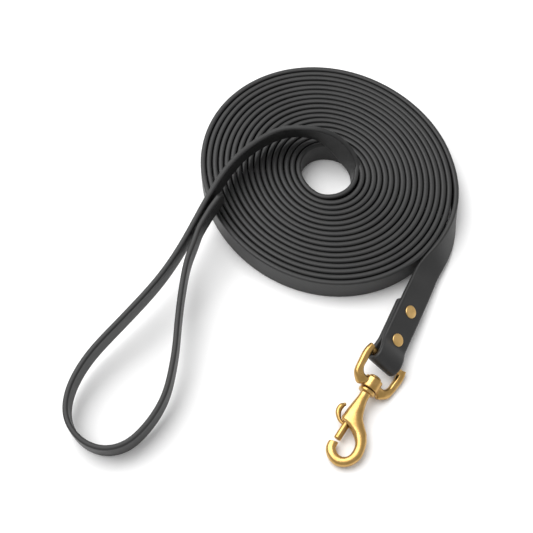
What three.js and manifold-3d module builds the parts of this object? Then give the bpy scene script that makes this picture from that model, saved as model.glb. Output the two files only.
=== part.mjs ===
// Training leash: a flat coated-webbing strap wound on its edge into a flat coil,
// with a hand loop sewn at the inner end and a brass swivel bolt snap riveted on
// at the outer end. Millimetres, +Z up, the coil lying on the floor.
import * as THREE from 'three';
import Module from 'manifold-3d';

const { Manifold } = await Module().then((m) => (m.setup(), m));

// ---- driving sizes ----
const STRAP_W = 13;              // strap width
const STRAP_T = 2.5;             // strap thickness
const STRAP_EDGE = 0.45;         // chamfer along the strap's edges
const COIL_OUTER_R = 61.2;       // ring standing for the wound turns
const COIL_INNER_R = 17.8;
const RIVET_CAP_R = 3.05;
const RIVET_POST_R = 1.1;
const RIVET_HOLE_R = 1.45;
const RIVET_STATIONS = [10.9, 27.3];   // from the crossbar centre, along the strap
const LAP_LENGTH = 34;           // strap folded back under itself at the snap
const FOLD_FLAT = STRAP_T / 2 + 0.2;   // each layer's centre from the fold's middle
const THREAD_R = 0.3;
const THREAD_HOLE_R = 0.65;
const CORNER_CLIP = 3.2;         // corners cut off both ends of the strap
const STITCH_ROWS = [-4, 4];     // across the strap's width
const BAR_R = 1.6;               // bow crossbar radius
const BAR_CLEAR = 0.35;
const HUB_AT = 13;               // crossbar centre to hub centre, along the snap
const STUD_R = 2.0;
const HUB_R = 4.15;
const BOLT_R = 1.7;
const BORE_R = 2.05;
const BODY_END = 20.8;           // end of the bolt housing, from the hub centre
const BOLT_NOSE = 29.5;
const HOOK_TIP = 29.9;            // end of the hook's nose, facing the bolt
const LEVER_AT = 21.9;
const SPRING_TURNS = 6;
const ROUND = 28;                // facets of the turned pieces

// ---- where the snap sits and how it lies ----
const BAR_CENTRE = new THREE.Vector3(24.5, -99.4, 8.9);
const BAR_DIR = new THREE.Vector3(0.706, -0.374, -0.601).normalize();
const STRAP_DIR = square(new THREE.Vector3(-0.417, -0.906, 0.072), BAR_DIR);
const SNAP_DIR = square(new THREE.Vector3(-0.54, -0.833, -0.118), BAR_DIR);
const HOOK_SIDE = new THREE.Vector3().crossVectors(new THREE.Vector3(0, 0, 1), SNAP_DIR).normalize();
const HOOK_UP = new THREE.Vector3().crossVectors(SNAP_DIR, HOOK_SIDE).normalize();

const BLACK = { color: 0x2c2c2d, roughness: 0.6, metalness: 0 };
const THREAD = { color: 0x1c1c1c, roughness: 0.9, metalness: 0 };
const BRASS = { color: 0xc79a4b, roughness: 0.3, metalness: 1 };
const STEEL = { color: 0xb8b9ba, roughness: 0.35, metalness: 1 };

function square(dir, to) {
  return dir.clone().addScaledVector(to, -dir.dot(to)).normalize();
}

// ---- geometry to solid and back ----
function solid(positions, indices) {
  return Manifold.ofMesh({
    numProp: 3,
    vertProperties: new Float32Array(positions),
    triVerts: new Uint32Array(indices),
  });
}

function meshOf(name, body, look) {
  const out = body.getMesh();
  const geometry = new THREE.BufferGeometry();
  geometry.setAttribute('position', new THREE.BufferAttribute(new Float32Array(out.vertProperties), 3));
  geometry.setIndex(Array.from(out.triVerts));
  const mesh = new THREE.Mesh(geometry, new THREE.MeshStandardMaterial(look));
  mesh.name = name;
  return mesh;
}

// A tube of rings: each ring is a list of points, joined to the next, flat ends.
function loft(rings) {
  const n = rings[0].length;
  const positions = rings.flat().flatMap((p) => [p.x, p.y, p.z]);
  const indices = [];
  for (let i = 0; i + 1 < rings.length; i += 1) {
    for (let j = 0; j < n; j += 1) {
      const a = i * n + j;
      const b = i * n + ((j + 1) % n);
      indices.push(a, b, a + n, b, b + n, a + n);
    }
  }
  const last = (rings.length - 1) * n;
  for (let j = 1; j + 1 < n; j += 1) {
    indices.push(0, j + 1, j);
    indices.push(last, last + j, last + j + 1);
  }
  const body = solid(positions, indices);
  if (body.volume() < 0) throw new Error('inside out');
  return body;
}

// ---- strap: a chamfered rectangle carried along a route ----
// Each route point is [x, y, z, upx, upy, upz]; "up" is the way the strap's width points.
function strapFrames(route, pieces) {
  const at = new THREE.CatmullRomCurve3(route.map((p) => new THREE.Vector3(p[0], p[1], p[2])), false, 'centripetal');
  const ups = new THREE.CatmullRomCurve3(route.map((p) => new THREE.Vector3(p[3], p[4], p[5])), false, 'centripetal');
  const frames = [];
  for (let i = 0; i <= pieces; i += 1) {
    const t = i / pieces;
    const dir = at.getTangent(t);
    const up = square(ups.getPoint(t), dir);
    frames.push({ p: at.getPoint(t), dir, up, side: new THREE.Vector3().crossVectors(dir, up) });
  }
  return frames;
}

function strapRing(f, clip = 0) {
  const w = STRAP_W / 2 - clip;
  const t = STRAP_T / 2;
  const e = STRAP_EDGE;
  const corners = [[t, w - e], [t - e, w], [e - t, w], [-t, w - e], [-t, e - w], [e - t, -w], [t - e, -w], [t, e - w]];
  return corners.map(([a, b]) => f.p.clone().addScaledVector(f.side, a).addScaledVector(f.up, b)).reverse();
}

function strap(frames) {
  return loft(frames.map((f) => strapRing(f)));
}

// a strap whose last end has its corners cut off at 45 degrees
function clippedStrap(frames) {
  const end = frames[frames.length - 1].p;
  return loft(frames.map((f) => strapRing(f, Math.max(0, CORNER_CLIP - f.p.distanceTo(end)))));
}

function withUp(points, up) {
  return points.map((p) => [...p, ...up]);
}

// ---- round rod through points with a radius at each, and turned shapes ----
function rod(points, radii, facets = 12, pieces = 24) {
  const at = new THREE.CatmullRomCurve3(points, false, 'centripetal');
  const sizes = new THREE.CatmullRomCurve3(radii.map((r, i) => new THREE.Vector3(i, r, 0)), false, 'centripetal');
  let side = square(new THREE.Vector3(0.3, 0.2, 0.93), at.getTangent(0));
  const rings = [];
  for (let i = 0; i <= pieces; i += 1) {
    const t = i / pieces;
    const dir = at.getTangent(t);
    side = square(side, dir);
    const other = new THREE.Vector3().crossVectors(dir, side);
    const r = sizes.getPoint(t).y;
    const p = at.getPoint(t);
    rings.push(Array.from({ length: facets }, (_, k) => {
      const a = (2 * Math.PI * k) / facets;
      return p.clone().addScaledVector(side, r * Math.cos(a)).addScaledVector(other, r * Math.sin(a));
    }));
  }
  return loft(rings);
}

// profile: [along, radius] pairs, turned about the line from origin along dir
function turned(origin, dir, profile, facets = ROUND) {
  const side = square(new THREE.Vector3(0.31, 0.23, 0.92), dir);
  const other = new THREE.Vector3().crossVectors(dir, side);
  return loft(profile.map(([a, r]) => Array.from({ length: facets }, (_, k) => {
    const t = (2 * Math.PI * k) / facets;
    return origin.clone().addScaledVector(dir, a)
      .addScaledVector(side, r * Math.cos(t)).addScaledVector(other, r * Math.sin(t));
  })));
}

// ================= the strap =================
function coil() {
  const outer = Manifold.cylinder(STRAP_W, COIL_OUTER_R, COIL_OUTER_R, 96);
  const inner = Manifold.cylinder(STRAP_W + 2, COIL_INNER_R, COIL_INNER_R, 48).translate([0, 0, -1]);
  return outer.subtract(inner);
}

// the outer end leaves the coil and rolls over until its outer face looks up
const TAIL_ROUTE = [
  [63.1, 4, 6.55, 0, 0, 1],
  [62.9, -10, 6.55, 0, 0, 1],
  [61.4, -22, 6.65, -0.1, 0.03, 0.99],
  [58.0, -33.5, 6.8, -0.32, 0.1, 0.93],
  [52.2, -44.3, 7.1, -0.56, 0.22, 0.78],
];

function tail() {
  const { place } = foldRoute();
  const end = [52, 44, LAP_LENGTH + 1.5 + 0.35].map((a) => place(a, FOLD_FLAT));
  return strap(strapFrames([...TAIL_ROUTE, ...end], 36));
}

// the two layers at the snap: over the crossbar and back underneath
function foldRoute() {
  const n = new THREE.Vector3().crossVectors(STRAP_DIR, BAR_DIR);
  if (n.z < 0) n.negate();
  const up = BAR_DIR.clone().negate();
  const bend = BAR_R + BAR_CLEAR + STRAP_T / 2;
  const flat = FOLD_FLAT;
  const place = (along, off) => {
    const p = BAR_CENTRE.clone().addScaledVector(STRAP_DIR, -along).addScaledVector(n, off);
    return [p.x, p.y, p.z, up.x, up.y, up.z];
  };
  const top = [[LAP_LENGTH + 1.5, flat], [30, flat], [22, flat], [14, flat], [9, flat], [4.5, (flat + bend) / 2 + 0.1]];
  const route = top.map(([a, o]) => place(a, o));
  for (let k = 0; k <= 6; k += 1) {
    const a = (Math.PI * k) / 6;
    route.push(place(-bend * Math.sin(a), bend * Math.cos(a)));
  }
  top.slice(1).reverse().forEach(([a, o]) => route.push(place(a, -o)));
  route.push(place(LAP_LENGTH, -flat));
  return { route, n, place };
}

function snapFold() {
  const { route, n } = foldRoute();
  let body = clippedStrap(strapFrames(route, 84));
  for (const s of RIVET_STATIONS) {
    const from = BAR_CENTRE.clone().addScaledVector(STRAP_DIR, -s).addScaledVector(n, -6);
    body = body.subtract(turned(from, n, [[0, RIVET_HOLE_R], [12, RIVET_HOLE_R]], 16));
  }
  return body;
}

function rivet(station) {
  const { n } = foldRoute();
  const c = BAR_CENTRE.clone().addScaledVector(STRAP_DIR, -station);
  const face = STRAP_T + 0.2 + 0.3;
  const cap = [[-face - 0.5, RIVET_POST_R], [face, RIVET_POST_R], [face, RIVET_CAP_R - 0.15], [face + 0.25, RIVET_CAP_R],
    [face + 0.55, RIVET_CAP_R - 0.25], [face + 0.8, RIVET_CAP_R - 1.1]];
  const back = turned(c, n.clone().negate(), [[face, RIVET_CAP_R - 0.35], [face + 0.25, RIVET_CAP_R - 0.2],
    [face + 0.85, RIVET_CAP_R - 0.5], [face + 1.1, RIVET_CAP_R - 1.3]], 24);
  const socket = turned(c, n.clone().negate(), [[0, RIVET_HOLE_R], [face + 0.8, RIVET_HOLE_R]], 16);
  return [turned(c, n, cap, 24), back.subtract(socket)];
}

// the inner end climbs out of the hole, crosses over the turns and reaches the lap
const RISER_ROUTE = [
  [9.3, -11.2, 6.55, 0, 0, 1],
  [12.6, -6.6, 6.6, 0.05, 0, 1],
  [14.0, -1.7, 6.65, 0.1, 0, 0.995],
  [14.2, 1.8, 6.8, 0.11, -0.05, 0.99],
  [13.8, 4.6, 7.4, 0.2, -0.25, 0.95],
  [12.3, 7.0, 9.2, 0.38, -0.32, 0.87],
  [10.0, 9.6, 11.8, 0.52, -0.3, 0.8],
  [6.8, 12.0, 15.1, 0.56, -0.28, 0.78],
  [3.5, 13.7, 18.0, 0.5, -0.26, 0.82],
  [-0.3, 15.0, 20.5, 0.34, -0.26, 0.9],
  [-6.5, 16.2, 22.3, 0.14, -0.28, 0.95],
  [-12.8, 16.6, 22.9, 0.05, -0.3, 0.95],
  [-20.2, 16.0, 23.0, 0.04, -0.26, 0.965],
  [-31.0, 11.0, 22.8, 0.12, -0.18, 0.975],
  [-41.6, 1.8, 22.7, 0.08, -0.16, 0.983],
  [-50.4, -10.6, 22.3, 0, -0.139, 0.99],
];

const LOOP_UP = [0, -0.139, 0.990];
const HANDLE_ROUTE = withUp([
  [-51.2, -12.0, 22.25], [-56.4, -21.9, 22.0], [-61.4, -32.4, 21.4], [-66.3, -42.6, 20.3], [-71.6, -52.4, 19.0],
  [-79.1, -63.9, 17.5], [-88.4, -75.4, 15.9], [-98.4, -86.8, 14.3], [-107.5, -97.6, 12.8], [-114.0, -108.3, 11.3],
  [-117.3, -118.7, 9.8], [-117.0, -126.8, 8.7], [-113.6, -133.6, 7.8], [-107.4, -138.9, 7.0], [-98.8, -141.1, 6.8],
  [-90.4, -138.7, 7.0], [-83.2, -132.4, 7.9], [-77.9, -125.0, 8.9], [-74.0, -116.5, 10.1], [-71.7, -106.5, 11.5],
  [-70.3, -96.2, 12.9], [-69.6, -85.6, 14.4], [-68.7, -74.3, 16.0], [-67.3, -62.8, 17.6], [-65.2, -52.4, 19.0],
  [-62.5, -44.4, 20.2], [-60.8, -39.0, 20.8], [-58.3, -33.9, 21.3], [-55.5, -28.7, 21.7], [-52.4, -23.8, 22.0],
  [-50.6, -20.7, 22.1],
], LOOP_UP);
const HANDLE_PIECES = 150;
const STITCH_AT = [17.5, 21, 24.5, 28, 31.5];   // along the handle strap, mm from its start

// lap geometry shared by the holes and the thread: a hole line through both layers
function lapLines() {
  const frames = strapFrames(HANDLE_ROUTE, HANDLE_PIECES * 4);
  const returning = frames.slice(frames.length / 2);
  const ahead = (f, here) => Math.abs(f.p.clone().sub(here.p).dot(here.dir));
  return STITCH_AT.map((distance) => {
    let run = 0;
    let i = 0;
    while (run < distance) {
      i += 1;
      run += frames[i].p.distanceTo(frames[i - 1].p);
    }
    const here = frames[i];
    const back = returning.reduce((best, f) => (ahead(f, here) < ahead(best, here) ? f : best));
    const across = back.p.clone().sub(here.p).dot(here.side);
    return { here, gap: Math.abs(across), along: here.side.clone().multiplyScalar(Math.sign(across)) };
  });
}

function handleStrap() {
  let body = clippedStrap(strapFrames(HANDLE_ROUTE, HANDLE_PIECES));
  for (const { here, gap, along } of lapLines()) {
    for (const row of STITCH_ROWS) {
      const from = here.p.clone().addScaledVector(here.up, row).addScaledVector(along, -4);
      body = body.subtract(turned(from, along, [[0, THREAD_HOLE_R], [gap + 8, THREAD_HOLE_R]], 8));
    }
  }
  return body;
}

// thread down one hole, along the strap and up the next
function stitchRow(row) {
  const proud = STRAP_T / 2 + 0.3 + THREAD_R;
  const points = lapLines().flatMap(({ here, gap, along }, i) => {
    const middle = here.p.clone().addScaledVector(here.up, row);
    const near = middle.clone().addScaledVector(along, -proud);
    const far = middle.clone().addScaledVector(along, gap + proud);
    return i % 2 === 0 ? [near, far] : [far, near];
  });
  const legs = points.slice(1).map((end, i) => {
    const start = points[i];
    const dir = end.clone().sub(start).normalize();
    const length = start.distanceTo(end) + 2 * THREAD_R;
    return turned(start.clone().addScaledVector(dir, -THREAD_R), dir, [[0, THREAD_R], [length, THREAD_R]], 8);
  });
  return legs.reduce((whole, leg) => whole.add(leg));
}

// ================= the snap =================
const HUB = BAR_CENTRE.clone().addScaledVector(SNAP_DIR, HUB_AT);
const inBow = ([a, b]) => HUB.clone().addScaledVector(SNAP_DIR, a).addScaledVector(BAR_DIR, b);
const inHook = ([a, l, h = 0]) => HUB.clone().addScaledVector(SNAP_DIR, a)
  .addScaledVector(HOOK_SIDE, l).addScaledVector(HOOK_UP, h);

// Cast limb: each station has an inner and an outer point of its outline, in the two
// directions of "place", and half a depth; the section there is an oval through both points.
function castLimb(stations, place, depthDir, pieces, facets = 16) {
  const line = (k) => new THREE.CatmullRomCurve3(stations.map((s) => new THREE.Vector3(...s[k])), false, 'centripetal');
  const inner = line(0);
  const outer = line(1);
  const rings = [];
  for (let i = 0; i <= pieces; i += 1) {
    const a = inner.getPoint(i / pieces);
    const b = outer.getPoint(i / pieces);
    const from = place([a.x, a.y]);
    const to = place([b.x, b.y]);
    const middle = from.clone().add(to).multiplyScalar(0.5);
    const half = to.clone().sub(from).multiplyScalar(0.5);
    rings.push(Array.from({ length: facets }, (_, k) => {
      const t = (2 * Math.PI * k) / facets;
      return middle.clone().addScaledVector(half, Math.cos(t)).addScaledVector(depthDir, a.z * Math.sin(t));
    }));
  }
  return orient(rings);
}

// [along the snap, across it, half depth], [along, across]
const BOW_ARM = [
  [[-1.8, 2.6, 2.3], [2.4, 2.6, 0]],
  [[-1.7, 4.5, 2.3], [2.7, 4.5, 0]],
  [[-1.7, 5.8, 2.25], [4.4, 6, 0]],
  [[-2.3, 7.2, 2.2], [3.2, 8.3, 0]],
  [[-3.9, 8.2, 1.82], [0.4, 10.7, 0]],
  [[-6.4, 8.5, 1.75], [-3.7, 11.75, 0]],
  [[-9, 8.6, 1.8], [-8.6, 12.4, 0]],
  [[-11.6, 8.55, 1.75], [-12.1, 12.3, 0]],
  [[-13.9, 8.4, 1.65], [-15, 11.5, 0]],
];

function bow() {
  let body = turned(HUB, SNAP_DIR, [[-2.9, HUB_R - 0.3], [-2.6, HUB_R], [2.2, HUB_R], [2.6, HUB_R - 0.3]]);
  const bar = turned(BAR_CENTRE, BAR_DIR, [[-10.5, BAR_R], [10.5, BAR_R]], 20);
  body = body.add(bar);
  const depthDir = new THREE.Vector3().crossVectors(SNAP_DIR, BAR_DIR);
  for (const s of [-1, 1]) {
    body = body.add(castLimb(BOW_ARM, ([a, b]) => inBow([a, s * b]), depthDir, 26));
  }
  return body.subtract(turned(HUB, SNAP_DIR, [[-4, STUD_R + 0.35], [4, STUD_R + 0.35]]));
}

// housing and hook in one casting, from the neck to the nose that meets the bolt
const HOOK_OUTLINE = [
  [[4.8, -2.4, 2.4], [4.8, 2.4, 0]],
  [[7, -2.35, 2.35], [7, 2.4, 0]],
  [[9.5, -2.6, 2.6], [9.5, 2.9, 0]],
  [[12.5, -3, 2.85], [12.3, 3.75, 0]],
  [[15.4, -3.3, 3], [15.2, 4.9, 0]],
  [[18.2, -3.45, 3.1], [17.4, 6.7, 0]],
  [[20.2, -3.4, 3.1], [19.3, 8.6, 0]],
  [[21.1, -1.7, 3], [20.6, 9.9, 0]],
  [[22.2, 1.3, 2.9], [21.8, 10.7, 0]],
  [[23.2, 3.7, 2.75], [23.2, 11.6, 0]],
  [[24.8, 5.9, 2.6], [25, 12.4, 0]],
  [[27, 7.9, 2.45], [28, 13.2, 0]],
  [[30.2, 8.7, 2.4], [31.4, 13.45, 0]],
  [[33.3, 8.15, 2.4], [35.3, 12.1, 0]],
  [[34.8, 6.6, 2.4], [38.1, 9.7, 0]],
  [[35.1, 4.9, 2.4], [39.7, 6.3, 0]],
  [[34.4, 2.95, 2.4], [39.3, 2.4, 0]],
  [[33.3, 1.95, 2.35], [37.6, -0.4, 0]],
  [[32, 1.55, 2.2], [35, -2.3, 0]],
  [[30.5, 1.45, 2], [31.7, -2.75, 0]],
];

function hookBody() {
  const spine = [[-4.5, 1.2], [-4.3, 2.1], [-3.8, 2.8], [-3.25, 3.0], [-3.25, STUD_R], [3.0, STUD_R], [3.0, 3.7],
    [3.3, 3.95], [4.5, 3.95], [4.8, 3.7], [5.0, 2.4], [6, 2.3]];
  let body = turned(HUB, SNAP_DIR, spine);
  body = body.add(castLimb(HOOK_OUTLINE, inHook, HOOK_UP, 60, 20));
  body = body.subtract(turned(HUB, SNAP_DIR, [[6.6, 1.6], [9.6, 1.6], [9.6, BORE_R], [HOOK_TIP, BORE_R]], 20));
  const slot = [[12.6, -1.15], [12.6, 1.15], [BODY_END + 1.5, 1.15], [BODY_END + 1.5, -1.15]];
  const ring = (l) => slot.map(([a, h]) => inHook([a, l, h]));
  return body.subtract(orient([ring(-5), ring(-0.5)]));
}

function orient(rings) {
  try {
    return loft(rings);
  } catch {
    return loft(rings.map((r) => [...r].reverse()));
  }
}

function boltPin() {
  const body = turned(HUB, SNAP_DIR, [[14.6, 0.55], [17.6, 0.55], [17.6, BOLT_R], [BOLT_NOSE - 0.4, BOLT_R],
    [BOLT_NOSE, BOLT_R - 0.4]], 24);
  const hole = turned(inHook([LEVER_AT, 1.1]), HOOK_SIDE.clone().negate(), [[0, 1.05], [4, 1.05]], 16);
  return body.subtract(hole);
}

function thumbLever() {
  const path = [[LEVER_AT, 0.7], [LEVER_AT, -1.4], [LEVER_AT - 0.3, -2.9], [20.3, -4.6], [18.6, -5.9], [16.6, -6.3],
    [14.8, -5.8], [13.8, -5.0]];
  return rod(path.map(inHook), [0.7, 0.7, 0.8, 1.1, 1.35, 1.35, 1.15, 0.75], 12, 28);
}

function boltSpring() {
  const turns = SPRING_TURNS;
  const points = Array.from({ length: turns * 8 + 1 }, (_, i) => {
    const a = (2 * Math.PI * i) / 8;
    return inHook([7.1 + (10.1 * i) / (turns * 8), 1.075 * Math.cos(a), 1.075 * Math.sin(a)]);
  });
  return rod(points, points.map(() => 0.16), 6, turns * 14);
}

// ================= assembly =================
const pieces = [
  meshOf('strap_coil', coil(), BLACK),
  meshOf('strap_tail', tail(), BLACK),
  meshOf('snap_end_fold', snapFold(), BLACK),
  meshOf('handle_riser', strap(strapFrames(RISER_ROUTE, 46)), BLACK),
  meshOf('handle_loop', handleStrap(), BLACK),
  ...STITCH_ROWS.map((row, i) => meshOf(`lap_stitching_${i + 1}`, stitchRow(row), THREAD)),
  ...RIVET_STATIONS.flatMap((s, i) => rivet(s).map((b, k) => (
    meshOf(`rivet_${i + 1}_${k === 0 ? 'cap' : 'back'}`, b, BRASS)))),
  meshOf('swivel_bow', bow(), BRASS),
  meshOf('hook_body', hookBody(), BRASS),
  meshOf('bolt', boltPin(), BRASS),
  meshOf('thumb_lever', thumbLever(), BRASS),
  meshOf('bolt_spring', boltSpring(), STEEL),
];

const group = new THREE.Group();
group.name = 'training_leash';
group.add(...pieces);
const box = new THREE.Box3().setFromObject(group);
const middle = box.getCenter(new THREE.Vector3());
for (const piece of pieces) piece.geometry.translate(-middle.x, -middle.y, -box.min.z);

export default group;
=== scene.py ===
import math

import bpy
import numpy as np
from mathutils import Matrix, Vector


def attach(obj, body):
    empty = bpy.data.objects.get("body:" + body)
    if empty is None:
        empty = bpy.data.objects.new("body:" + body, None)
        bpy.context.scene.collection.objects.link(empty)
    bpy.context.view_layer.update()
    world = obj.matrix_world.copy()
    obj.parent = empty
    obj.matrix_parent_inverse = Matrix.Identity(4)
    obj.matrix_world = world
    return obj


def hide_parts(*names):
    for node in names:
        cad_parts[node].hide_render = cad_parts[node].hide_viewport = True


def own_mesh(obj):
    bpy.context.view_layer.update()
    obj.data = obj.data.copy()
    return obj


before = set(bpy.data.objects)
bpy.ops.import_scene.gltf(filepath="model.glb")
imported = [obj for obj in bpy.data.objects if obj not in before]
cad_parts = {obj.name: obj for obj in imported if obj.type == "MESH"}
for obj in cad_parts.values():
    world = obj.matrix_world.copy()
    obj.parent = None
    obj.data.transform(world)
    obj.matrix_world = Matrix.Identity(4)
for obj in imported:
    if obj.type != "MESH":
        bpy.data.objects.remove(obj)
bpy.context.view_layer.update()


# ================= Camera, floor and light =================
# The leash lies on a plain white table top. The camera stands in front of it and looks
# steeply down; the light is a large soft box overhead and an even white room.
CAMERA_PLACE = (-0.00237, -0.27307, 0.4974)
CAMERA_AIM = (-0.00234, -0.0030, 0.0)
CAMERA_LENS = 79.7
FLOOR_SIDE = 8.0
SOFT_BOX_SIDE = 1.3
SOFT_BOX_PLACE = (-0.5, 0.35, 1.1)
SOFT_BOX_WATTS = 21.0
ROOM_LIGHT = 0.6

camera_data = bpy.data.cameras.new("camera")
camera_data.sensor_width = 36
camera_data.lens = CAMERA_LENS
camera = bpy.data.objects.new("camera", camera_data)
camera.location = CAMERA_PLACE
camera.rotation_euler = (Vector(CAMERA_AIM) - Vector(CAMERA_PLACE)).to_track_quat("-Z", "Y").to_euler()
bpy.context.scene.collection.objects.link(camera)
bpy.context.scene.camera = camera
bpy.context.scene.view_settings.view_transform = "Standard"


def blank_material(name):
    """A new material, with the nodes, links and shader of its node tree."""
    material = bpy.data.materials.new(name)
    material.use_nodes = True
    tree = material.node_tree
    return material, tree.nodes, tree.links, tree.nodes["Principled BSDF"]


def add_node(nodes, kind, values):
    """A new node of this kind with these inputs set."""
    node = nodes.new(kind)
    for name, value in values.items():
        node.inputs[name].default_value = value
    return node


def plain_material(name, colour, roughness):
    """One colour with a faint cloudy change of tone, for what isn't part of the leash."""
    material, nodes, links, shader = blank_material(name)
    noise = add_node(nodes, "ShaderNodeTexNoise", {"Scale": 3.0})
    tone = add_node(nodes, "ShaderNodeMixRGB", {
        "Color1": (*colour, 1),
        "Color2": (*[0.98 * c for c in colour], 1),
    })
    links.new(noise.outputs["Fac"], tone.inputs["Fac"])
    links.new(tone.outputs["Color"], shader.inputs["Base Color"])
    shader.inputs["Roughness"].default_value = roughness
    return material


floor_data = bpy.data.meshes.new("floor")
half = FLOOR_SIDE / 2
corners = [(-half, -half, 0), (half, -half, 0), (half, half, 0), (-half, half, 0)]
floor_data.from_pydata(corners, [], [(0, 1, 2, 3)])
floor = bpy.data.objects.new("floor", floor_data)
floor_data.materials.append(plain_material("white_table", (0.95, 0.95, 0.95), 0.7))
bpy.context.scene.collection.objects.link(floor)

soft_box_data = bpy.data.lights.new("soft_box", "AREA")
soft_box_data.size = SOFT_BOX_SIDE
soft_box_data.energy = SOFT_BOX_WATTS
soft_box = bpy.data.objects.new("soft_box", soft_box_data)
soft_box.location = SOFT_BOX_PLACE
soft_box.rotation_euler = (-Vector(SOFT_BOX_PLACE)).to_track_quat("-Z", "Y").to_euler()
bpy.context.scene.collection.objects.link(soft_box)

room = bpy.data.worlds.new("white_room")
room.use_nodes = True
room.node_tree.nodes["Background"].inputs["Color"].default_value = (1.0, 1.0, 1.0, 1)
room.node_tree.nodes["Background"].inputs["Strength"].default_value = ROOM_LIGHT
bpy.context.scene.world = room


# ================= The strap =================
# The whole leash is one length of flat woven webbing sealed in a smooth black coating. It
# turns round the snap's crossbar, is riveted to itself, runs out to the coil, is wound on
# its edge some seventeen times, climbs out of the middle and is sewn back as a hand loop.
STRAP_WIDTH = 13.0                # millimetres, as all sizes here
STRAP_THICK = 2.5
STRAP_EDGE = 0.85                 # the coating rounds the strap's edges
STRAP_CROWN = 0.06                # the wide faces swell a little in the middle
CORNER_CLIP = 3.2                 # corners cut off both ends of the strap
COIL_MIDDLE = np.array([27.13, 43.03, 0.0])
COIL_PITCH = 2.872
COIL_FULL_RADIUS = 62.5           # centre of the strap where the outermost turn begins
COIL_TURNS = 16.72
COIL_FIRST_ANGLE = 8.0            # degrees, as are the steps between its stations
COIL_ANGLE_STEP = 9.0
COIL_HEIGHT = 6.67                # middle of the strap above the floor
LAP_LENGTH = 34.0
LAP_HALF = 1.36                   # each layer's middle from the lap's middle
CROSSBAR_MIDDLE = np.array([24.5, -99.4, 8.9])
CROSSBAR_DIR = np.array([0.70617, -0.37409, -0.60115])
STRAP_DIR = np.array([-0.41785, -0.9056, 0.07271])     # along the lap, towards the snap
LAP_UP = np.array([0.5716, -0.1998, 0.7958])           # out of the lap's upper face
CROSSBAR_BEND = 3.2               # radius of the strap's middle round the crossbar
LAP_SHIFT = 0.6                   # the lap has slid a little along the crossbar
LAP_SPREAD = 0.07                 # and the pull of the rivets has widened it by this much,
LAP_SPREAD_END = 98               # back to its own width this far along the strap,
LAP_SPREAD_FADE = 18              # over this length
SNAP_END = 90                     # the strap has close rings this far from the snap's end
SNAP_END_STEP = 0.6
STRAP_STEP = 1.7                  # and wider ones from there on,
SEWN_END = 4                      # except over the clipped corners of the sewn end
SEWN_END_RINGS = 8
# each station is a place, from the coil's middle, and the way that the strap's width points
TAIL_STATIONS = [
    (52.2, -44.3, 7.1, -0.56, 0.22, 0.78),
    (58.0, -33.5, 6.8, -0.32, 0.10, 0.93),
    (61.3, -22.0, 6.65, -0.10, 0.03, 0.99),
    (62.6, -10.0, 6.6, 0, 0, 1),
]
RISER_STATIONS = [
    (9.3, -11.2, 6.6, 0, 0, 1), (12.6, -6.6, 6.6, 0.05, 0, 1), (13.9, -1.7, 6.6, 0.08, 0, 0.995),
    (14.1, 1.8, 6.75, 0.10, -0.05, 0.99), (13.8, 4.6, 7.4, 0.20, -0.25, 0.95),
    (12.3, 7.0, 9.2, 0.38, -0.32, 0.87), (10.0, 9.6, 11.8, 0.52, -0.30, 0.80),
    (6.8, 12.0, 15.1, 0.56, -0.28, 0.78), (3.5, 13.7, 18.0, 0.50, -0.26, 0.82),
    (-0.3, 15.0, 20.5, 0.34, -0.26, 0.90), (-6.5, 16.2, 22.3, 0.14, -0.28, 0.95),
    (-12.8, 16.6, 22.9, 0.05, -0.30, 0.95), (-20.2, 16.0, 23.0, 0.04, -0.26, 0.965),
    (-31.0, 11.0, 22.8, 0.12, -0.18, 0.975), (-41.6, 1.8, 22.7, 0.08, -0.16, 0.983),
    (-50.7, -11.1, 22.3, 0, -0.139, 0.99),
]
LOOP_POINTS = [
    (-56.4, -21.9, 22.0), (-61.4, -32.4, 21.4), (-66.3, -42.6, 20.3), (-71.6, -52.4, 19.0),
    (-79.1, -63.9, 17.5), (-88.4, -75.4, 15.9), (-98.4, -86.8, 14.3), (-107.5, -97.6, 12.8),
    (-114.0, -108.3, 11.3), (-117.3, -118.7, 9.8), (-117.0, -126.8, 8.7), (-113.6, -133.6, 7.8),
    (-107.4, -138.9, 7.0), (-98.8, -141.1, 6.8), (-90.4, -138.7, 7.0), (-83.2, -132.4, 7.9),
    (-77.9, -125.0, 8.9), (-74.0, -116.5, 10.1), (-71.7, -106.5, 11.5), (-70.3, -96.2, 12.9),
    (-69.6, -85.6, 14.4), (-68.7, -74.3, 16.0), (-67.3, -62.8, 17.6), (-65.2, -52.4, 19.0),
    (-62.5, -44.4, 20.2), (-60.8, -39.0, 20.8), (-58.3, -33.9, 21.3), (-55.5, -28.7, 21.7),
    (-52.4, -23.8, 22.0), (-50.6, -20.7, 22.1),
]
UPRIGHT = (0.0, 0.0, 1.0)
LOOP_UP = (0.0, -0.139, 0.990)    # the hand loop leans a little towards its far end


def unit(v):
    """Each row of v divided by its length."""
    return v / np.linalg.norm(v, axis=-1, keepdims=True)


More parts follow.
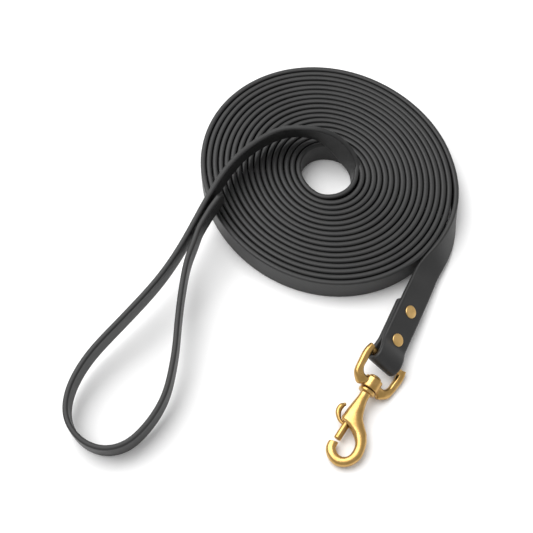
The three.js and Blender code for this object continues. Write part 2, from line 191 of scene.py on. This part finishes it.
def spline(stations, at=None, step=1.6):
    """The natural cubic through the stations, taken against the summed length of the chords
    between their first three columns. Returns its values at those lengths, a step apart if
    none are given, and the lengths."""
    stations = np.asarray(stations, float)
    knots = np.r_[0, np.cumsum(np.linalg.norm(np.diff(stations[:, :3], axis=0), axis=1))]
    gap = np.diff(knots)
    n = len(knots)
    slope = np.diff(stations, axis=0) / gap[:, None]
    matrix = np.eye(n)
    inner = np.arange(1, n - 1)
    matrix[inner, inner] = 2 * (gap[:-1] + gap[1:])
    matrix[inner, inner - 1] = gap[:-1]
    matrix[inner, inner + 1] = gap[1:]
    right = np.zeros_like(stations)
    right[1:-1] = 6 * np.diff(slope, axis=0)
    bend = np.linalg.solve(matrix, right)
    if at is None:
        at = np.linspace(0, knots[-1], max(2, round(knots[-1] / step) + 1))
    i = np.clip(np.searchsorted(knots, at, side="right") - 1, 0, n - 2)
    h, a, b = gap[i][:, None], (knots[i + 1] - at)[:, None], (at - knots[i])[:, None]
    values = (
        bend[i] * a**3 / (6 * h) + bend[i + 1] * b**3 / (6 * h)
        + (stations[i] / h - bend[i] * h / 6) * a + (stations[i + 1] / h - bend[i + 1] * h / 6) * b
    )
    return values, at


def lap_stations():
    """From the cut end under the lap, along its lower layer to the crossbar, round it in a
    half circle, and back along the upper layer."""
    along = np.array([LAP_LENGTH, 30, 25, 20, 15, 11, 8, 4.6])
    lift = np.array([LAP_HALF] * 6 + [LAP_HALF + 0.1, (LAP_HALF + CROSSBAR_BEND) / 2 + 0.25])
    turn = np.radians(np.arange(180, -1, -22.5))
    along = np.r_[along, -CROSSBAR_BEND * np.sin(turn), along[:0:-1], 35.5, 44, 52]
    lift = np.r_[-lift, CROSSBAR_BEND * np.cos(turn), lift[:0:-1], [LAP_HALF] * 3]
    middle = CROSSBAR_MIDDLE - LAP_SHIFT * CROSSBAR_DIR
    places = middle - along[:, None] * STRAP_DIR + lift[:, None] * LAP_UP
    return np.c_[places, np.tile(-CROSSBAR_DIR, (len(places), 1))]


def coil_stations():
    """The wound turns: a spiral whose radius falls by one pitch a turn, pressed out of round
    by terms in two and three times the angle that die away and turn over towards the middle."""
    turned_by = np.radians(np.arange(COIL_FIRST_ANGLE, 360 * COIL_TURNS, COIL_ANGLE_STEP))
    depth = np.maximum(turned_by / (2 * np.pi) - 0.5, 0) / 15
    c1, s1 = np.cos(turned_by), np.sin(turned_by)
    c2, s2 = np.cos(2 * turned_by), np.sin(2 * turned_by)
    c3, s3 = np.cos(3 * turned_by), np.sin(3 * turned_by)
    radius = (
        COIL_FULL_RADIUS - 0.705 * c2 - 3.018 * s2 + 0.11 * c3 + 0.079 * s3
        + (0.9 * c1 - 0.035 * s1 + 0.306 * c2 + 2.08 * s2) * depth
        - COIL_PITCH * turned_by / (2 * np.pi)
    )
    uneven = 0.05 * np.sin(1.37 * turned_by) + 0.04 * np.sin(2.61 * turned_by + 1.1)
    height = COIL_HEIGHT + 0.07 * np.sin(0.83 * turned_by + 0.4) + 0.05 * np.sin(2.23 * turned_by)
    places = np.c_[(radius + uneven) * c1, (radius + uneven) * s1, height]
    return np.c_[places, np.tile(UPRIGHT, (len(places), 1))]


def strap_section():
    """One turn round the strap's section, as offsets through its thickness and across its
    width: a rectangle with quarter circles for corners and three points on each wide face."""
    quarter = np.radians([0, 30, 60, 90])
    t, w, r = STRAP_THICK / 2 - STRAP_EDGE, STRAP_WIDTH / 2 - STRAP_EDGE, STRAP_EDGE
    arc = np.c_[t + r * np.cos(quarter), w + r * np.sin(quarter)]
    face = np.array([[t + r, -w + 0.4], [t + r + STRAP_CROWN, 0], [t + r, w - 0.4]])
    near = np.r_[face, arc]
    half = np.r_[near, arc[::-1] * (-1, 1)]
    rest = np.r_[face[::-1] * (-1, 1), arc * (-1, -1), arc[::-1] * (1, -1)]
    return np.r_[half, rest]


def outwards(points, faces):
    """The faces, turned over if they enclose a negative volume."""
    a, b, c, d = (points[[f[i] for f in faces]] for i in (0, 1, 2, -1))
    volume = (np.cross(a, b) * c).sum() + (np.cross(a, c) * d).sum()
    return faces if volume > 0 else [f[::-1] for f in faces]


def put(name, points, faces, material):
    """A smooth mesh object of these points, in millimetres, and faces."""
    mesh = bpy.data.meshes.new(name)
    points = np.asarray(points, float) / 1000
    mesh.from_pydata(points.tolist(), [], outwards(points, faces))
    mesh.polygons.foreach_set("use_smooth", np.ones(len(mesh.polygons), bool))
    mesh.materials.append(material)
    mesh.update()
    made = bpy.data.objects.new(name, mesh)
    bpy.context.scene.collection.objects.link(made)
    return made


def ring_faces(rings, around):
    """Four-sided faces between neighbouring rings of points, and one face over each end."""
    i, j = np.meshgrid(np.arange(rings - 1), np.arange(around), indexing="ij")
    here, beside = i * around + j, i * around + (j + 1) % around
    quads = np.stack([here, beside, beside + around, here + around], -1).reshape(-1, 4).tolist()
    ends = [list(range(around))[::-1], list(range((rings - 1) * around, rings * around))]
    return quads + ends


def strap_route():
    """All the stations from the snap to the sewn end, in the row frame, and the spline
    through them: places, the way that the width points, and lengths along the strap."""
    leaning = np.c_[LOOP_POINTS, np.tile(LOOP_UP, (len(LOOP_POINTS), 1))]
    stations = np.r_[lap_stations(), TAIL_STATIONS, coil_stations(), RISER_STATIONS, leaning]
    stations[:, :3] += COIL_MIDDLE
    total = np.linalg.norm(np.diff(stations[:, :3], axis=0), axis=1).sum()
    near_snap = np.arange(0, SNAP_END, SNAP_END_STEP)
    onwards = np.arange(SNAP_END, total - SEWN_END, STRAP_STEP)
    near_end = np.linspace(total - SEWN_END, total, SEWN_END_RINGS)
    lengths = np.r_[near_snap, onwards, near_end]
    values, lengths = spline(stations, lengths)
    return values[:, :3], values[:, 3:], lengths


strap_line, strap_up, strap_lengths = strap_route()
strap_along = unit(np.gradient(strap_line, axis=0))
strap_up = unit(strap_up - (strap_up * strap_along).sum(1, keepdims=True) * strap_along)
strap_side = np.cross(strap_along, strap_up)


def coated_webbing():
    """Black coating over a weave: a faint change of tone, a satin gloss that varies, a fine
    leathery grain, and the weave underneath showing through as a slight emboss."""
    material, nodes, links, shader = blank_material("coated_webbing")
    place = nodes.new("ShaderNodeTexCoord")
    cloudy = add_node(nodes, "ShaderNodeTexNoise", {"Scale": 90.0, "Detail": 4.0})
    tone = nodes.new("ShaderNodeValToRGB")
    tone.color_ramp.elements[0].position = 0.3
    tone.color_ramp.elements[0].color = (0.0145, 0.0145, 0.0148, 1)
    tone.color_ramp.elements[1].position = 0.75
    tone.color_ramp.elements[1].color = (0.021, 0.0209, 0.0207, 1)
    gloss = add_node(nodes, "ShaderNodeMapRange", {"To Min": 0.40, "To Max": 0.56})
    grain = add_node(nodes, "ShaderNodeTexNoise", {"Scale": 2600.0, "Detail": 2.0})
    weave = nodes.new("ShaderNodeTexWave")
    weave.wave_type = "BANDS"
    weave.bands_direction = "DIAGONAL"
    weave.inputs["Scale"].default_value = 260.0
    weave.inputs["Distortion"].default_value = 1.5
    weave.inputs["Detail"].default_value = 1.0
    emboss = add_node(nodes, "ShaderNodeBump", {"Strength": 0.10, "Distance": 0.0001})
    fine = add_node(nodes, "ShaderNodeBump", {"Strength": 0.18, "Distance": 0.00004})
    links.new(place.outputs["Object"], cloudy.inputs["Vector"])
    links.new(place.outputs["Object"], grain.inputs["Vector"])
    links.new(place.outputs["UV"], weave.inputs["Vector"])
    links.new(cloudy.outputs["Fac"], tone.inputs["Fac"])
    links.new(tone.outputs["Color"], shader.inputs["Base Color"])
    links.new(cloudy.outputs["Fac"], gloss.inputs["Value"])
    links.new(gloss.outputs["Result"], shader.inputs["Roughness"])
    links.new(weave.outputs["Fac"], emboss.inputs["Height"])
    links.new(grain.outputs["Fac"], fine.inputs["Height"])
    links.new(emboss.outputs["Normal"], fine.inputs["Normal"])
    links.new(fine.outputs["Normal"], shader.inputs["Normal"])
    shader.inputs["Specular IOR Level"].default_value = 0.42
    return material


def make_strap():
    """The section carried along the route, its corners clipped at both ends, with a UV map of
    metres along the strap and round its section."""
    section = strap_section()
    around = len(section)
    from_end = np.minimum(strap_lengths, strap_lengths[-1] - strap_lengths)
    clip = np.clip(CORNER_CLIP - from_end, 0, None)
    spread = LAP_SPREAD * np.clip((LAP_SPREAD_END - strap_lengths) / LAP_SPREAD_FADE, 0, 1)
    narrow = 1 - clip / (STRAP_WIDTH / 2) + spread
    points = (
        strap_line[:, None]
        + section[None, :, :1] * strap_side[:, None]
        + section[None, :, 1:] * narrow[:, None, None] * strap_up[:, None]
    ).reshape(-1, 3)
    faces = ring_faces(len(strap_line), around)
    strap = put("leash_strap", points, faces, coated_webbing())
    girth = np.r_[0, np.cumsum(np.linalg.norm(np.roll(section, -1, 0) - section, axis=1))] / 1000
    corner = np.zeros(len(strap.data.loops), np.int64)
    strap.data.loops.foreach_get("vertex_index", corner)
    ring, spot = corner // around, corner % around
    starts = np.zeros(len(strap.data.polygons), np.int64)
    strap.data.polygons.foreach_get("loop_start", starts)
    totals = np.zeros(len(strap.data.polygons), np.int64)
    strap.data.polygons.foreach_get("loop_total", totals)
    wraps = np.repeat(np.add.reduceat((spot == around - 1).astype(int), starts) > 0, totals)
    spot = np.where(wraps & (spot == 0) & (np.repeat(totals, totals) == 4), around, spot)
    layer = strap.data.uv_layers.new(name="along_and_across")
    layer.data.foreach_set("uv", np.c_[strap_lengths[ring] / 1000, girth[spot]].astype(np.float32).ravel())
    return strap


strap = make_strap()
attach(strap, "strap")
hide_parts("strap_coil", "strap_tail", "snap_end_fold", "handle_riser", "handle_loop")


# ================= Stitching of the hand loop =================
# Two rows of black bonded thread hold the strap's inner end to itself where the hand loop
# closes. The stitches are pulled half their thickness into the coating.
STITCHES_FROM_END = [7.5, 11.0, 14.5, 18.0, 21.5]
STITCH_ROWS = [-4.0, 4.0]         # across the strap's width
THREAD_THICK = 0.5
THREAD_PROUD = -0.02              # middle of a stitch from the strap's face
FIRST_LAYER = (230, 320)          # the loop's other layer, back from the sewn end


def thread_material():
    """Black thread: a twist shown by fine slanting bands, in tone and in height."""
    material, nodes, links, shader = blank_material("bonded_thread")
    place = nodes.new("ShaderNodeTexCoord")
    twist = nodes.new("ShaderNodeTexWave")
    twist.bands_direction = "DIAGONAL"
    twist.inputs["Scale"].default_value = 1500.0
    tone = add_node(nodes, "ShaderNodeMixRGB", {
        "Color1": (0.010, 0.010, 0.010, 1),
        "Color2": (0.022, 0.022, 0.022, 1),
    })
    rough = add_node(nodes, "ShaderNodeMapRange", {"To Min": 0.65, "To Max": 0.85})
    bump = add_node(nodes, "ShaderNodeBump", {"Strength": 0.4, "Distance": 0.0001})
    links.new(place.outputs["Object"], twist.inputs["Vector"])
    links.new(twist.outputs["Fac"], tone.inputs["Fac"])
    links.new(twist.outputs["Fac"], rough.inputs["Value"])
    links.new(twist.outputs["Fac"], bump.inputs["Height"])
    links.new(tone.outputs["Color"], shader.inputs["Base Color"])
    links.new(rough.outputs["Result"], shader.inputs["Roughness"])
    links.new(bump.outputs["Normal"], shader.inputs["Normal"])
    return material


def turned(origin, direction, profile, around=48):
    """A lathe shape: each [along, radius] pair of the profile gives a ring of points about the
    line from origin. Returns its points and faces."""
    direction = unit(np.asarray(direction, float))
    side = unit(np.cross(direction, [0.31, 0.23, 0.92]))
    other = np.cross(direction, side)
    turn = np.linspace(0, 2 * np.pi, around, endpoint=False)
    ring = np.cos(turn)[:, None] * side + np.sin(turn)[:, None] * other
    along, radius = np.asarray(profile, float).T
    points = origin + along[:, None, None] * direction + radius[:, None, None] * ring
    points = points.reshape(-1, 3)
    return points, outwards(points, ring_faces(len(profile), around))


def together(parts):
    """Several point and face lists as one."""
    counts = np.r_[0, np.cumsum([len(points) for points, _ in parts])]
    faces = [[i + shift for i in f] for (_, part), shift in zip(parts, counts) for f in part]
    return np.concatenate([points for points, _ in parts]), faces


def lap_holes(row):
    """Where each needle hole comes out of the two outer faces of the lap."""
    last = strap_lengths[-1]
    back = np.searchsorted(strap_lengths, last - np.array(STITCHES_FROM_END))
    near, far = FIRST_LAYER
    first_layer = np.flatnonzero((strap_lengths > last - far) & (strap_lengths < last - near))
    step = strap_line[first_layer][None] - strap_line[back][:, None]
    ahead = (step * strap_along[back][:, None]).sum(-1)
    under = first_layer[np.abs(ahead).argmin(axis=1)]
    out = THREAD_PROUD + STRAP_THICK / 2
    apart = unit(strap_line[back] - strap_line[under])
    return (
        strap_line[back] + row * strap_up[back] + out * apart,
        strap_line[under] + row * strap_up[under] - out * apart,
    )


def stitch(start, end):
    """One stitch: a rounded bar a little shorter than the step between two holes."""
    length = np.linalg.norm(end - start)
    r = THREAD_THICK / 2
    rounded = [[0.35, 0.4 * r], [0.45, 0.8 * r], [0.6, r]]
    profile = rounded + [[length - a, radius] for a, radius in rounded[::-1]]
    return turned(start, end - start, profile, around=10)


thread = thread_material()
for number, row in enumerate(STITCH_ROWS, 1):
    stitches = [stitch(a, b) for face in lap_holes(row) for a, b in zip(face[:-1], face[1:])]
    row_of_stitches = put(f"stitching_{number}", *together(stitches), thread)
    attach(row_of_stitches, "strap")
    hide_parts(f"lap_stitching_{number}")


# ================= Rivets =================
# Two brass tubular rivets go through both layers of the lap: a low domed cap on top and a
# rolled head underneath, both pulled a little into the coating.
RIVETS_ALONG = [10.9, 27.3]
RIVET_RADIUS = 3.05


def brass_material(name, colour, worn, rough, brushed):
    """Brass: cloudy change from one tone to a worn one, a gloss that varies with it, the
    faint unevenness of a casting, and fine polishing marks."""
    material, nodes, links, shader = blank_material(name)
    shader.inputs["Metallic"].default_value = 1.0
    place = nodes.new("ShaderNodeTexCoord")
    cloudy = add_node(nodes, "ShaderNodeTexNoise", {"Scale": 260.0, "Detail": 5.0})
    tone = nodes.new("ShaderNodeValToRGB")
    tone.color_ramp.elements[0].position = 0.35
    tone.color_ramp.elements[0].color = (*worn, 1)
    tone.color_ramp.elements[1].position = 0.65
    tone.color_ramp.elements[1].color = (*colour, 1)
    gloss = add_node(nodes, "ShaderNodeMapRange", {
        "From Min": 0.3,
        "From Max": 0.7,
        "To Min": rough + 0.07,
        "To Max": rough,
    })
    cast = add_node(nodes, "ShaderNodeTexNoise", {"Scale": 420.0, "Detail": 1.0})
    marks = add_node(nodes, "ShaderNodeTexNoise", {"Scale": 5200.0})
    uneven = add_node(nodes, "ShaderNodeBump", {"Strength": 0.35, "Distance": 0.00012})
    fine = add_node(nodes, "ShaderNodeBump", {"Strength": brushed, "Distance": 0.00002})
    for texture in (cloudy, cast, marks):
        links.new(place.outputs["Object"], texture.inputs["Vector"])
    links.new(cloudy.outputs["Fac"], tone.inputs["Fac"])
    links.new(cloudy.outputs["Fac"], gloss.inputs["Value"])
    links.new(tone.outputs["Color"], shader.inputs["Base Color"])
    links.new(gloss.outputs["Result"], shader.inputs["Roughness"])
    links.new(cast.outputs["Fac"], uneven.inputs["Height"])
    links.new(marks.outputs["Fac"], fine.inputs["Height"])
    links.new(uneven.outputs["Normal"], fine.inputs["Normal"])
    links.new(fine.outputs["Normal"], shader.inputs["Normal"])
    return material


rivet_brass = brass_material("rivet_brass", (0.74, 0.49, 0.20), (0.62, 0.40, 0.15), 0.38, 0.5)
for number, along in enumerate(RIVETS_ALONG, 1):
    middle = COIL_MIDDLE + CROSSBAR_MIDDLE - LAP_SHIFT * CROSSBAR_DIR - along * STRAP_DIR
    face = LAP_HALF + STRAP_THICK / 2
    cap = [
        [face - 0.4, 0.2], [face - 0.4, RIVET_RADIUS - 0.1], [face + 0.1, RIVET_RADIUS],
        [face + 0.32, RIVET_RADIUS - 0.04], [face + 0.47, RIVET_RADIUS - 0.18],
        [face + 0.55, RIVET_RADIUS - 0.42], [face + 0.6, RIVET_RADIUS - 0.8],
        [face + 0.68, 1.5], [face + 0.72, 0.7], [face + 0.73, 0.1],
    ]
    head = [
        [face - 0.4, 0.2], [face - 0.4, RIVET_RADIUS - 0.5], [face + 0.15, RIVET_RADIUS - 0.35],
        [face + 0.45, RIVET_RADIUS - 0.5], [face + 0.62, RIVET_RADIUS - 1.0],
        [face + 0.5, RIVET_RADIUS - 1.5], [face + 0.15, 1.1], [face + 0.1, 0.1],
    ]
    heads = together([turned(middle, LAP_UP, cap), turned(middle, -LAP_UP, head)])
    rivet = put(f"rivet_{number}", *heads, rivet_brass)
    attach(rivet, "strap")
    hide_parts(f"rivet_{number}_cap", f"rivet_{number}_back")


# ================= Swivel bow =================
# The snap's bow is one brass casting: a straight crossbar inside the strap's fold, an arm
# down each side, and a barrel between their feet that the hook's stud turns in.
HUB_FROM_CROSSBAR = 13.0
HUB_RADIUS = 4.3
STUD_HOLE = 2.35
BAR_RADIUS = 1.6
CAST_EDGE = 45                    # degrees between faces from which an edge is sharp
SNAP_DIR = unit(np.array([-0.54102, -0.83279, -0.1173]))
BOW_DEPTH_DIR = np.cross(SNAP_DIR, CROSSBAR_DIR)
HUB = COIL_MIDDLE + CROSSBAR_MIDDLE + HUB_FROM_CROSSBAR * SNAP_DIR
# inner outline point along and across the snap, half depth, outer outline point
BOW_ARM = [
    (-1.8, 2.6, 2.3, 2.4, 2.6), (-1.7, 4.5, 2.3, 2.7, 4.5), (-1.7, 5.8, 2.25, 3.6, 6),
    (-2.3, 7.2, 2.2, 2.5, 8.4), (-3.9, 8.2, 1.82, 0.4, 10.7), (-6.4, 8.5, 1.75, -3.7, 11.75),
    (-9, 8.6, 1.8, -8.6, 12.4), (-11.6, 8.55, 1.75, -12.1, 12.3), (-13.9, 8.4, 1.65, -15, 11.5),
]


def cast_limb(outline, across_dir, depth_dir, around=40, step=0.35, square=0.85):
    """A limb whose sections are ovals, a little squared, through an inner and an outer point
    of its outline: middle + cos(t) half way across + sin(t) half depth, cosine and sine each
    raised to the power of square. Returns its points and faces."""
    inner_a, inner_b, depth, outer_a, outer_b = np.asarray(outline, float).T[:, :, None]
    inner = HUB + inner_a * SNAP_DIR + inner_b * across_dir
    outer = HUB + outer_a * SNAP_DIR + outer_b * across_dir
    values, _ = spline(np.c_[(inner + outer) / 2, (outer - inner) / 2, depth], step=step)
    middle, half, depth = values[:, None, :3], values[:, None, 3:6], values[:, None, 6:]
    turn = np.linspace(0, 2 * np.pi, around, endpoint=False)
    c, s = np.cos(turn), np.sin(turn)
    c, s = (np.sign(v) * np.abs(v) ** square for v in (c, s))
    points = (middle + c[:, None] * half + s[:, None] * depth * depth_dir).reshape(-1, 3)
    return points, outwards(points, ring_faces(len(values), around))


def cast_together(name, parts, holes, material, grain=0.17):
    """Overlapping parts run into one casting: they are filled with fine voxels, the skin of
    those smoothed as if polished, and the holes cut in it sharp."""
    casting = put(name, *together(parts), material)
    fill = casting.modifiers.new("fill", "REMESH")
    fill.mode = "VOXEL"
    fill.voxel_size = grain / 1000
    fill.use_smooth_shade = True
    polish = casting.modifiers.new("polish", "SMOOTH")
    polish.factor = 0.5
    polish.iterations = 5
    cutters = [put(f"{name}_hole", *hole, material) for hole in holes]
    for cutter in cutters:
        drill = casting.modifiers.new("drill", "BOOLEAN")
        drill.object = cutter
    finished = bpy.data.meshes.new_from_object(casting.evaluated_get(bpy.context.evaluated_depsgraph_get()))
    casting.modifiers.clear()
    casting.data = finished
    finished.set_sharp_from_angle(angle=math.radians(CAST_EDGE))
    for cutter in cutters:
        bpy.data.objects.remove(cutter)
    return casting


cast_brass = brass_material("cast_brass", (0.57, 0.36, 0.13), (0.46, 0.28, 0.09), 0.26, 0.3)
barrel = [
    [-2.9, 1.0], [-2.9, HUB_RADIUS - 0.5], [-2.75, HUB_RADIUS - 0.15], [-2.4, HUB_RADIUS],
    [2.1, HUB_RADIUS], [2.5, HUB_RADIUS - 0.15], [2.65, HUB_RADIUS - 0.5], [2.65, 1.0],
]
crossbar = [[-10.5, BAR_RADIUS], [10.5, BAR_RADIUS]]
bow = cast_together(
    "swivel_bow_casting",
    [
        turned(HUB, SNAP_DIR, barrel, 64),
        turned(COIL_MIDDLE + CROSSBAR_MIDDLE, CROSSBAR_DIR, crossbar),
        cast_limb(BOW_ARM, CROSSBAR_DIR, BOW_DEPTH_DIR),
        cast_limb(BOW_ARM, -CROSSBAR_DIR, BOW_DEPTH_DIR),
    ],
    [turned(HUB, SNAP_DIR, [[-4, STUD_HOLE], [4, STUD_HOLE]])],
    cast_brass,
)
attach(bow, "bow")
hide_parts("swivel_bow")


# ================= Hook body =================
# The hook is a second brass casting: a stud riveted over behind the barrel, a collar, a
# housing bored for the bolt and slotted for its lever, and the hook curling round to face
# the bolt's nose.
HOOK_SIDE = unit(np.cross([0.0, 0.0, 1.0], SNAP_DIR))
HOOK_UP = np.cross(SNAP_DIR, HOOK_SIDE)
BORE_RADIUS = 2.05
BORE_ENDS = (9.6, 29.9)           # along the snap
SEAT_RADIUS = 1.6                 # the narrower end of the bore that the spring sits in
SEAT_START = 6.6
SLOT_ENDS = (12.6, 22.3)          # along the snap
SLOT_WALLS = (-5.0, -0.5)         # across it
SLOT_HALF = 1.15
STUD_AND_COLLAR = [
    [-4.55, 0.2], [-4.5, 1.1], [-4.3, 2.0], [-3.9, 2.7], [-3.5, 2.98], [-3.2, 2.9], [-3.2, 2.0], [3.0, 2.0],
    [3.0, 3.5], [3.15, 3.85], [3.5, 4.0], [4.2, 4.0], [4.6, 3.8], [4.8, 3.4], [4.9, 2.5], [6.5, 2.3],
]
# inner outline point along and across the snap, half depth, outer outline point
HOOK_OUTLINE = [
    (4.8, -2.4, 2.4, 4.8, 2.4), (7, -2.35, 2.35, 7, 2.4), (9.5, -2.6, 2.6, 9.5, 2.9),
    (12.5, -3, 2.85, 12.3, 3.75), (15.4, -3.3, 3, 15.2, 4.9), (18.2, -3.45, 3.1, 17.4, 6.7),
    (20.2, -3.4, 3.1, 19.3, 8.6), (21.1, -1.7, 3, 20.6, 9.9), (22.2, 1.3, 2.9, 21.8, 10.7),
    (23.2, 3.7, 2.75, 23.2, 11.6), (24.8, 5.9, 2.6, 25, 12.4), (27, 7.9, 2.45, 28, 13.2),
    (30.2, 8.7, 2.4, 31.4, 13.45), (33.3, 8.15, 2.4, 35.3, 12.1), (34.8, 6.6, 2.4, 38.1, 9.7),
    (35.1, 4.9, 2.4, 39.7, 6.3), (34.4, 2.95, 2.4, 39.3, 2.4), (33.3, 1.95, 2.35, 37.6, -0.4),
    (32, 1.55, 2.2, 35, -2.3), (30.5, 1.45, 2, 31.7, -2.75),
]


def in_hook(along, across, up=0.0):
    """A place in the snap: along it from the barrel, across it, and up."""
    return HUB + along * SNAP_DIR + across * HOOK_SIDE + up * HOOK_UP


def lever_slot():
    """A box through the housing's wall, as long as the lever's travel."""
    start, end = SLOT_ENDS
    corners = [(start, -SLOT_HALF), (start, SLOT_HALF), (end, SLOT_HALF), (end, -SLOT_HALF)]
    points = np.array([in_hook(along, across, up) for across in SLOT_WALLS for along, up in corners])
    return points, outwards(points, ring_faces(2, 4))


bore = [
    [SEAT_START, SEAT_RADIUS], [BORE_ENDS[0], SEAT_RADIUS],
    [BORE_ENDS[0], BORE_RADIUS], [BORE_ENDS[1], BORE_RADIUS],
]
hook = cast_together(
    "hook_casting",
    [turned(HUB, SNAP_DIR, STUD_AND_COLLAR, 64), cast_limb(HOOK_OUTLINE, HOOK_SIDE, HOOK_UP, around=56)],
    [turned(HUB, SNAP_DIR, bore), lever_slot()],
    cast_brass,
)
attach(hook, "hook")
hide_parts("hook_body")


# ================= Bolt, lever and spring =================
# A turned brass bolt slides in the housing and closes the hook. A cast thumb lever stands
# out of its side, and a small steel spring behind it pushes it shut.
BOLT_RADIUS = 1.7
BOLT_NOSE = 29.5
BOLT_EDGE = 50                    # degrees between faces from which an edge is sharp
# along the snap, across it, radius
LEVER = [
    (21.9, 0.7, 0.7), (21.9, -1.4, 0.72), (21.6, -2.9, 0.8), (20.3, -4.6, 1.05), (18.6, -5.85, 1.3),
    (16.6, -6.3, 1.35), (14.9, -5.85, 1.15), (13.9, -5.1, 0.8), (13.6, -4.8, 0.35), (13.55, -4.75, 0.05),
]
bolt_profile = [
    [14.6, 0.1], [14.6, 0.5], [17.6, 0.55], [17.6, BOLT_RADIUS - 0.2], [17.8, BOLT_RADIUS],
    [BOLT_NOSE - 0.55, BOLT_RADIUS], [BOLT_NOSE - 0.25, BOLT_RADIUS - 0.12],
    [BOLT_NOSE - 0.08, BOLT_RADIUS - 0.4], [BOLT_NOSE, BOLT_RADIUS - 0.8], [BOLT_NOSE, 0.1],
]
bolt = put("bolt_turned", *turned(HUB, SNAP_DIR, bolt_profile), cast_brass)
bolt.data.set_sharp_from_angle(angle=math.radians(BOLT_EDGE))
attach(bolt, "plunger")
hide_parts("bolt")


def rod(stations, around=28, step=0.25):
    """A round bar through the stations, each a place and a radius."""
    values, _ = spline(stations, step=step)
    line, radius = values[:, :3], np.maximum(values[:, 3], 0.04)[:, None, None]
    along = unit(np.gradient(line, axis=0))
    side = np.tile(HOOK_UP, (len(line), 1))
    other = np.cross(along, side)
    turn = np.linspace(0, 2 * np.pi, around, endpoint=False)[:, None]
    points = line[:, None] + radius * (np.cos(turn) * side[:, None] + np.sin(turn) * other[:, None])
    points = points.reshape(-1, 3)
    return points, outwards(points, ring_faces(len(line), around))


lever_stations = [[*in_hook(along, across), radius] for along, across, radius in LEVER]
lever = put("lever_cast", *rod(lever_stations), cast_brass)
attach(lever, "plunger")
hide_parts("thumb_lever")


def spring_steel():
    """Bright drawn wire with faint marks of drawing along it."""
    material, nodes, links, shader = blank_material("spring_wire")
    shader.inputs["Metallic"].default_value = 1.0
    place = nodes.new("ShaderNodeTexCoord")
    drawn = add_node(nodes, "ShaderNodeTexNoise", {"Scale": 3000.0})
    tone = add_node(nodes, "ShaderNodeMixRGB", {
        "Color1": (0.42, 0.42, 0.43, 1),
        "Color2": (0.60, 0.60, 0.60, 1),
    })
    rough = add_node(nodes, "ShaderNodeMapRange", {"To Min": 0.22, "To Max": 0.4})
    bump = add_node(nodes, "ShaderNodeBump", {"Strength": 0.2, "Distance": 0.00002})
    links.new(place.outputs["Object"], drawn.inputs["Vector"])
    links.new(drawn.outputs["Fac"], tone.inputs["Fac"])
    links.new(drawn.outputs["Fac"], rough.inputs["Value"])
    links.new(drawn.outputs["Fac"], bump.inputs["Height"])
    links.new(tone.outputs["Color"], shader.inputs["Base Color"])
    links.new(rough.outputs["Result"], shader.inputs["Roughness"])
    links.new(bump.outputs["Normal"], shader.inputs["Normal"])
    return material


SPRING_START = 7.1                # along the snap
SPRING_LENGTH = 10.1
SPRING_TURNS = 6
SPRING_RADIUS = 1.075
WIRE_RADIUS = 0.16
RINGS_PER_TURN = 24


def coil_spring(around=10):
    """A helix: centre + radius times (cos, sin) of the angle, its wire a ring of points set
    out from that line along the helix's radius and square to it."""
    angle = np.linspace(0, 2 * np.pi * SPRING_TURNS, RINGS_PER_TURN * SPRING_TURNS + 1)[:, None]
    radial = np.cos(angle) * HOOK_SIDE + np.sin(angle) * HOOK_UP
    along = SPRING_START + SPRING_LENGTH * angle / angle[-1]
    line = HUB + along * SNAP_DIR + SPRING_RADIUS * radial
    other = np.cross(unit(np.gradient(line, axis=0)), radial)
    turn = np.linspace(0, 2 * np.pi, around, endpoint=False)[:, None]
    points = line[:, None] + WIRE_RADIUS * (np.cos(turn) * radial[:, None] + np.sin(turn) * other[:, None])
    points = points.reshape(-1, 3)
    return points, outwards(points, ring_faces(len(line), around))


spring = put("coil_spring", *coil_spring(), spring_steel())
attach(spring, "hook")
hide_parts("bolt_spring")
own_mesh(spring)
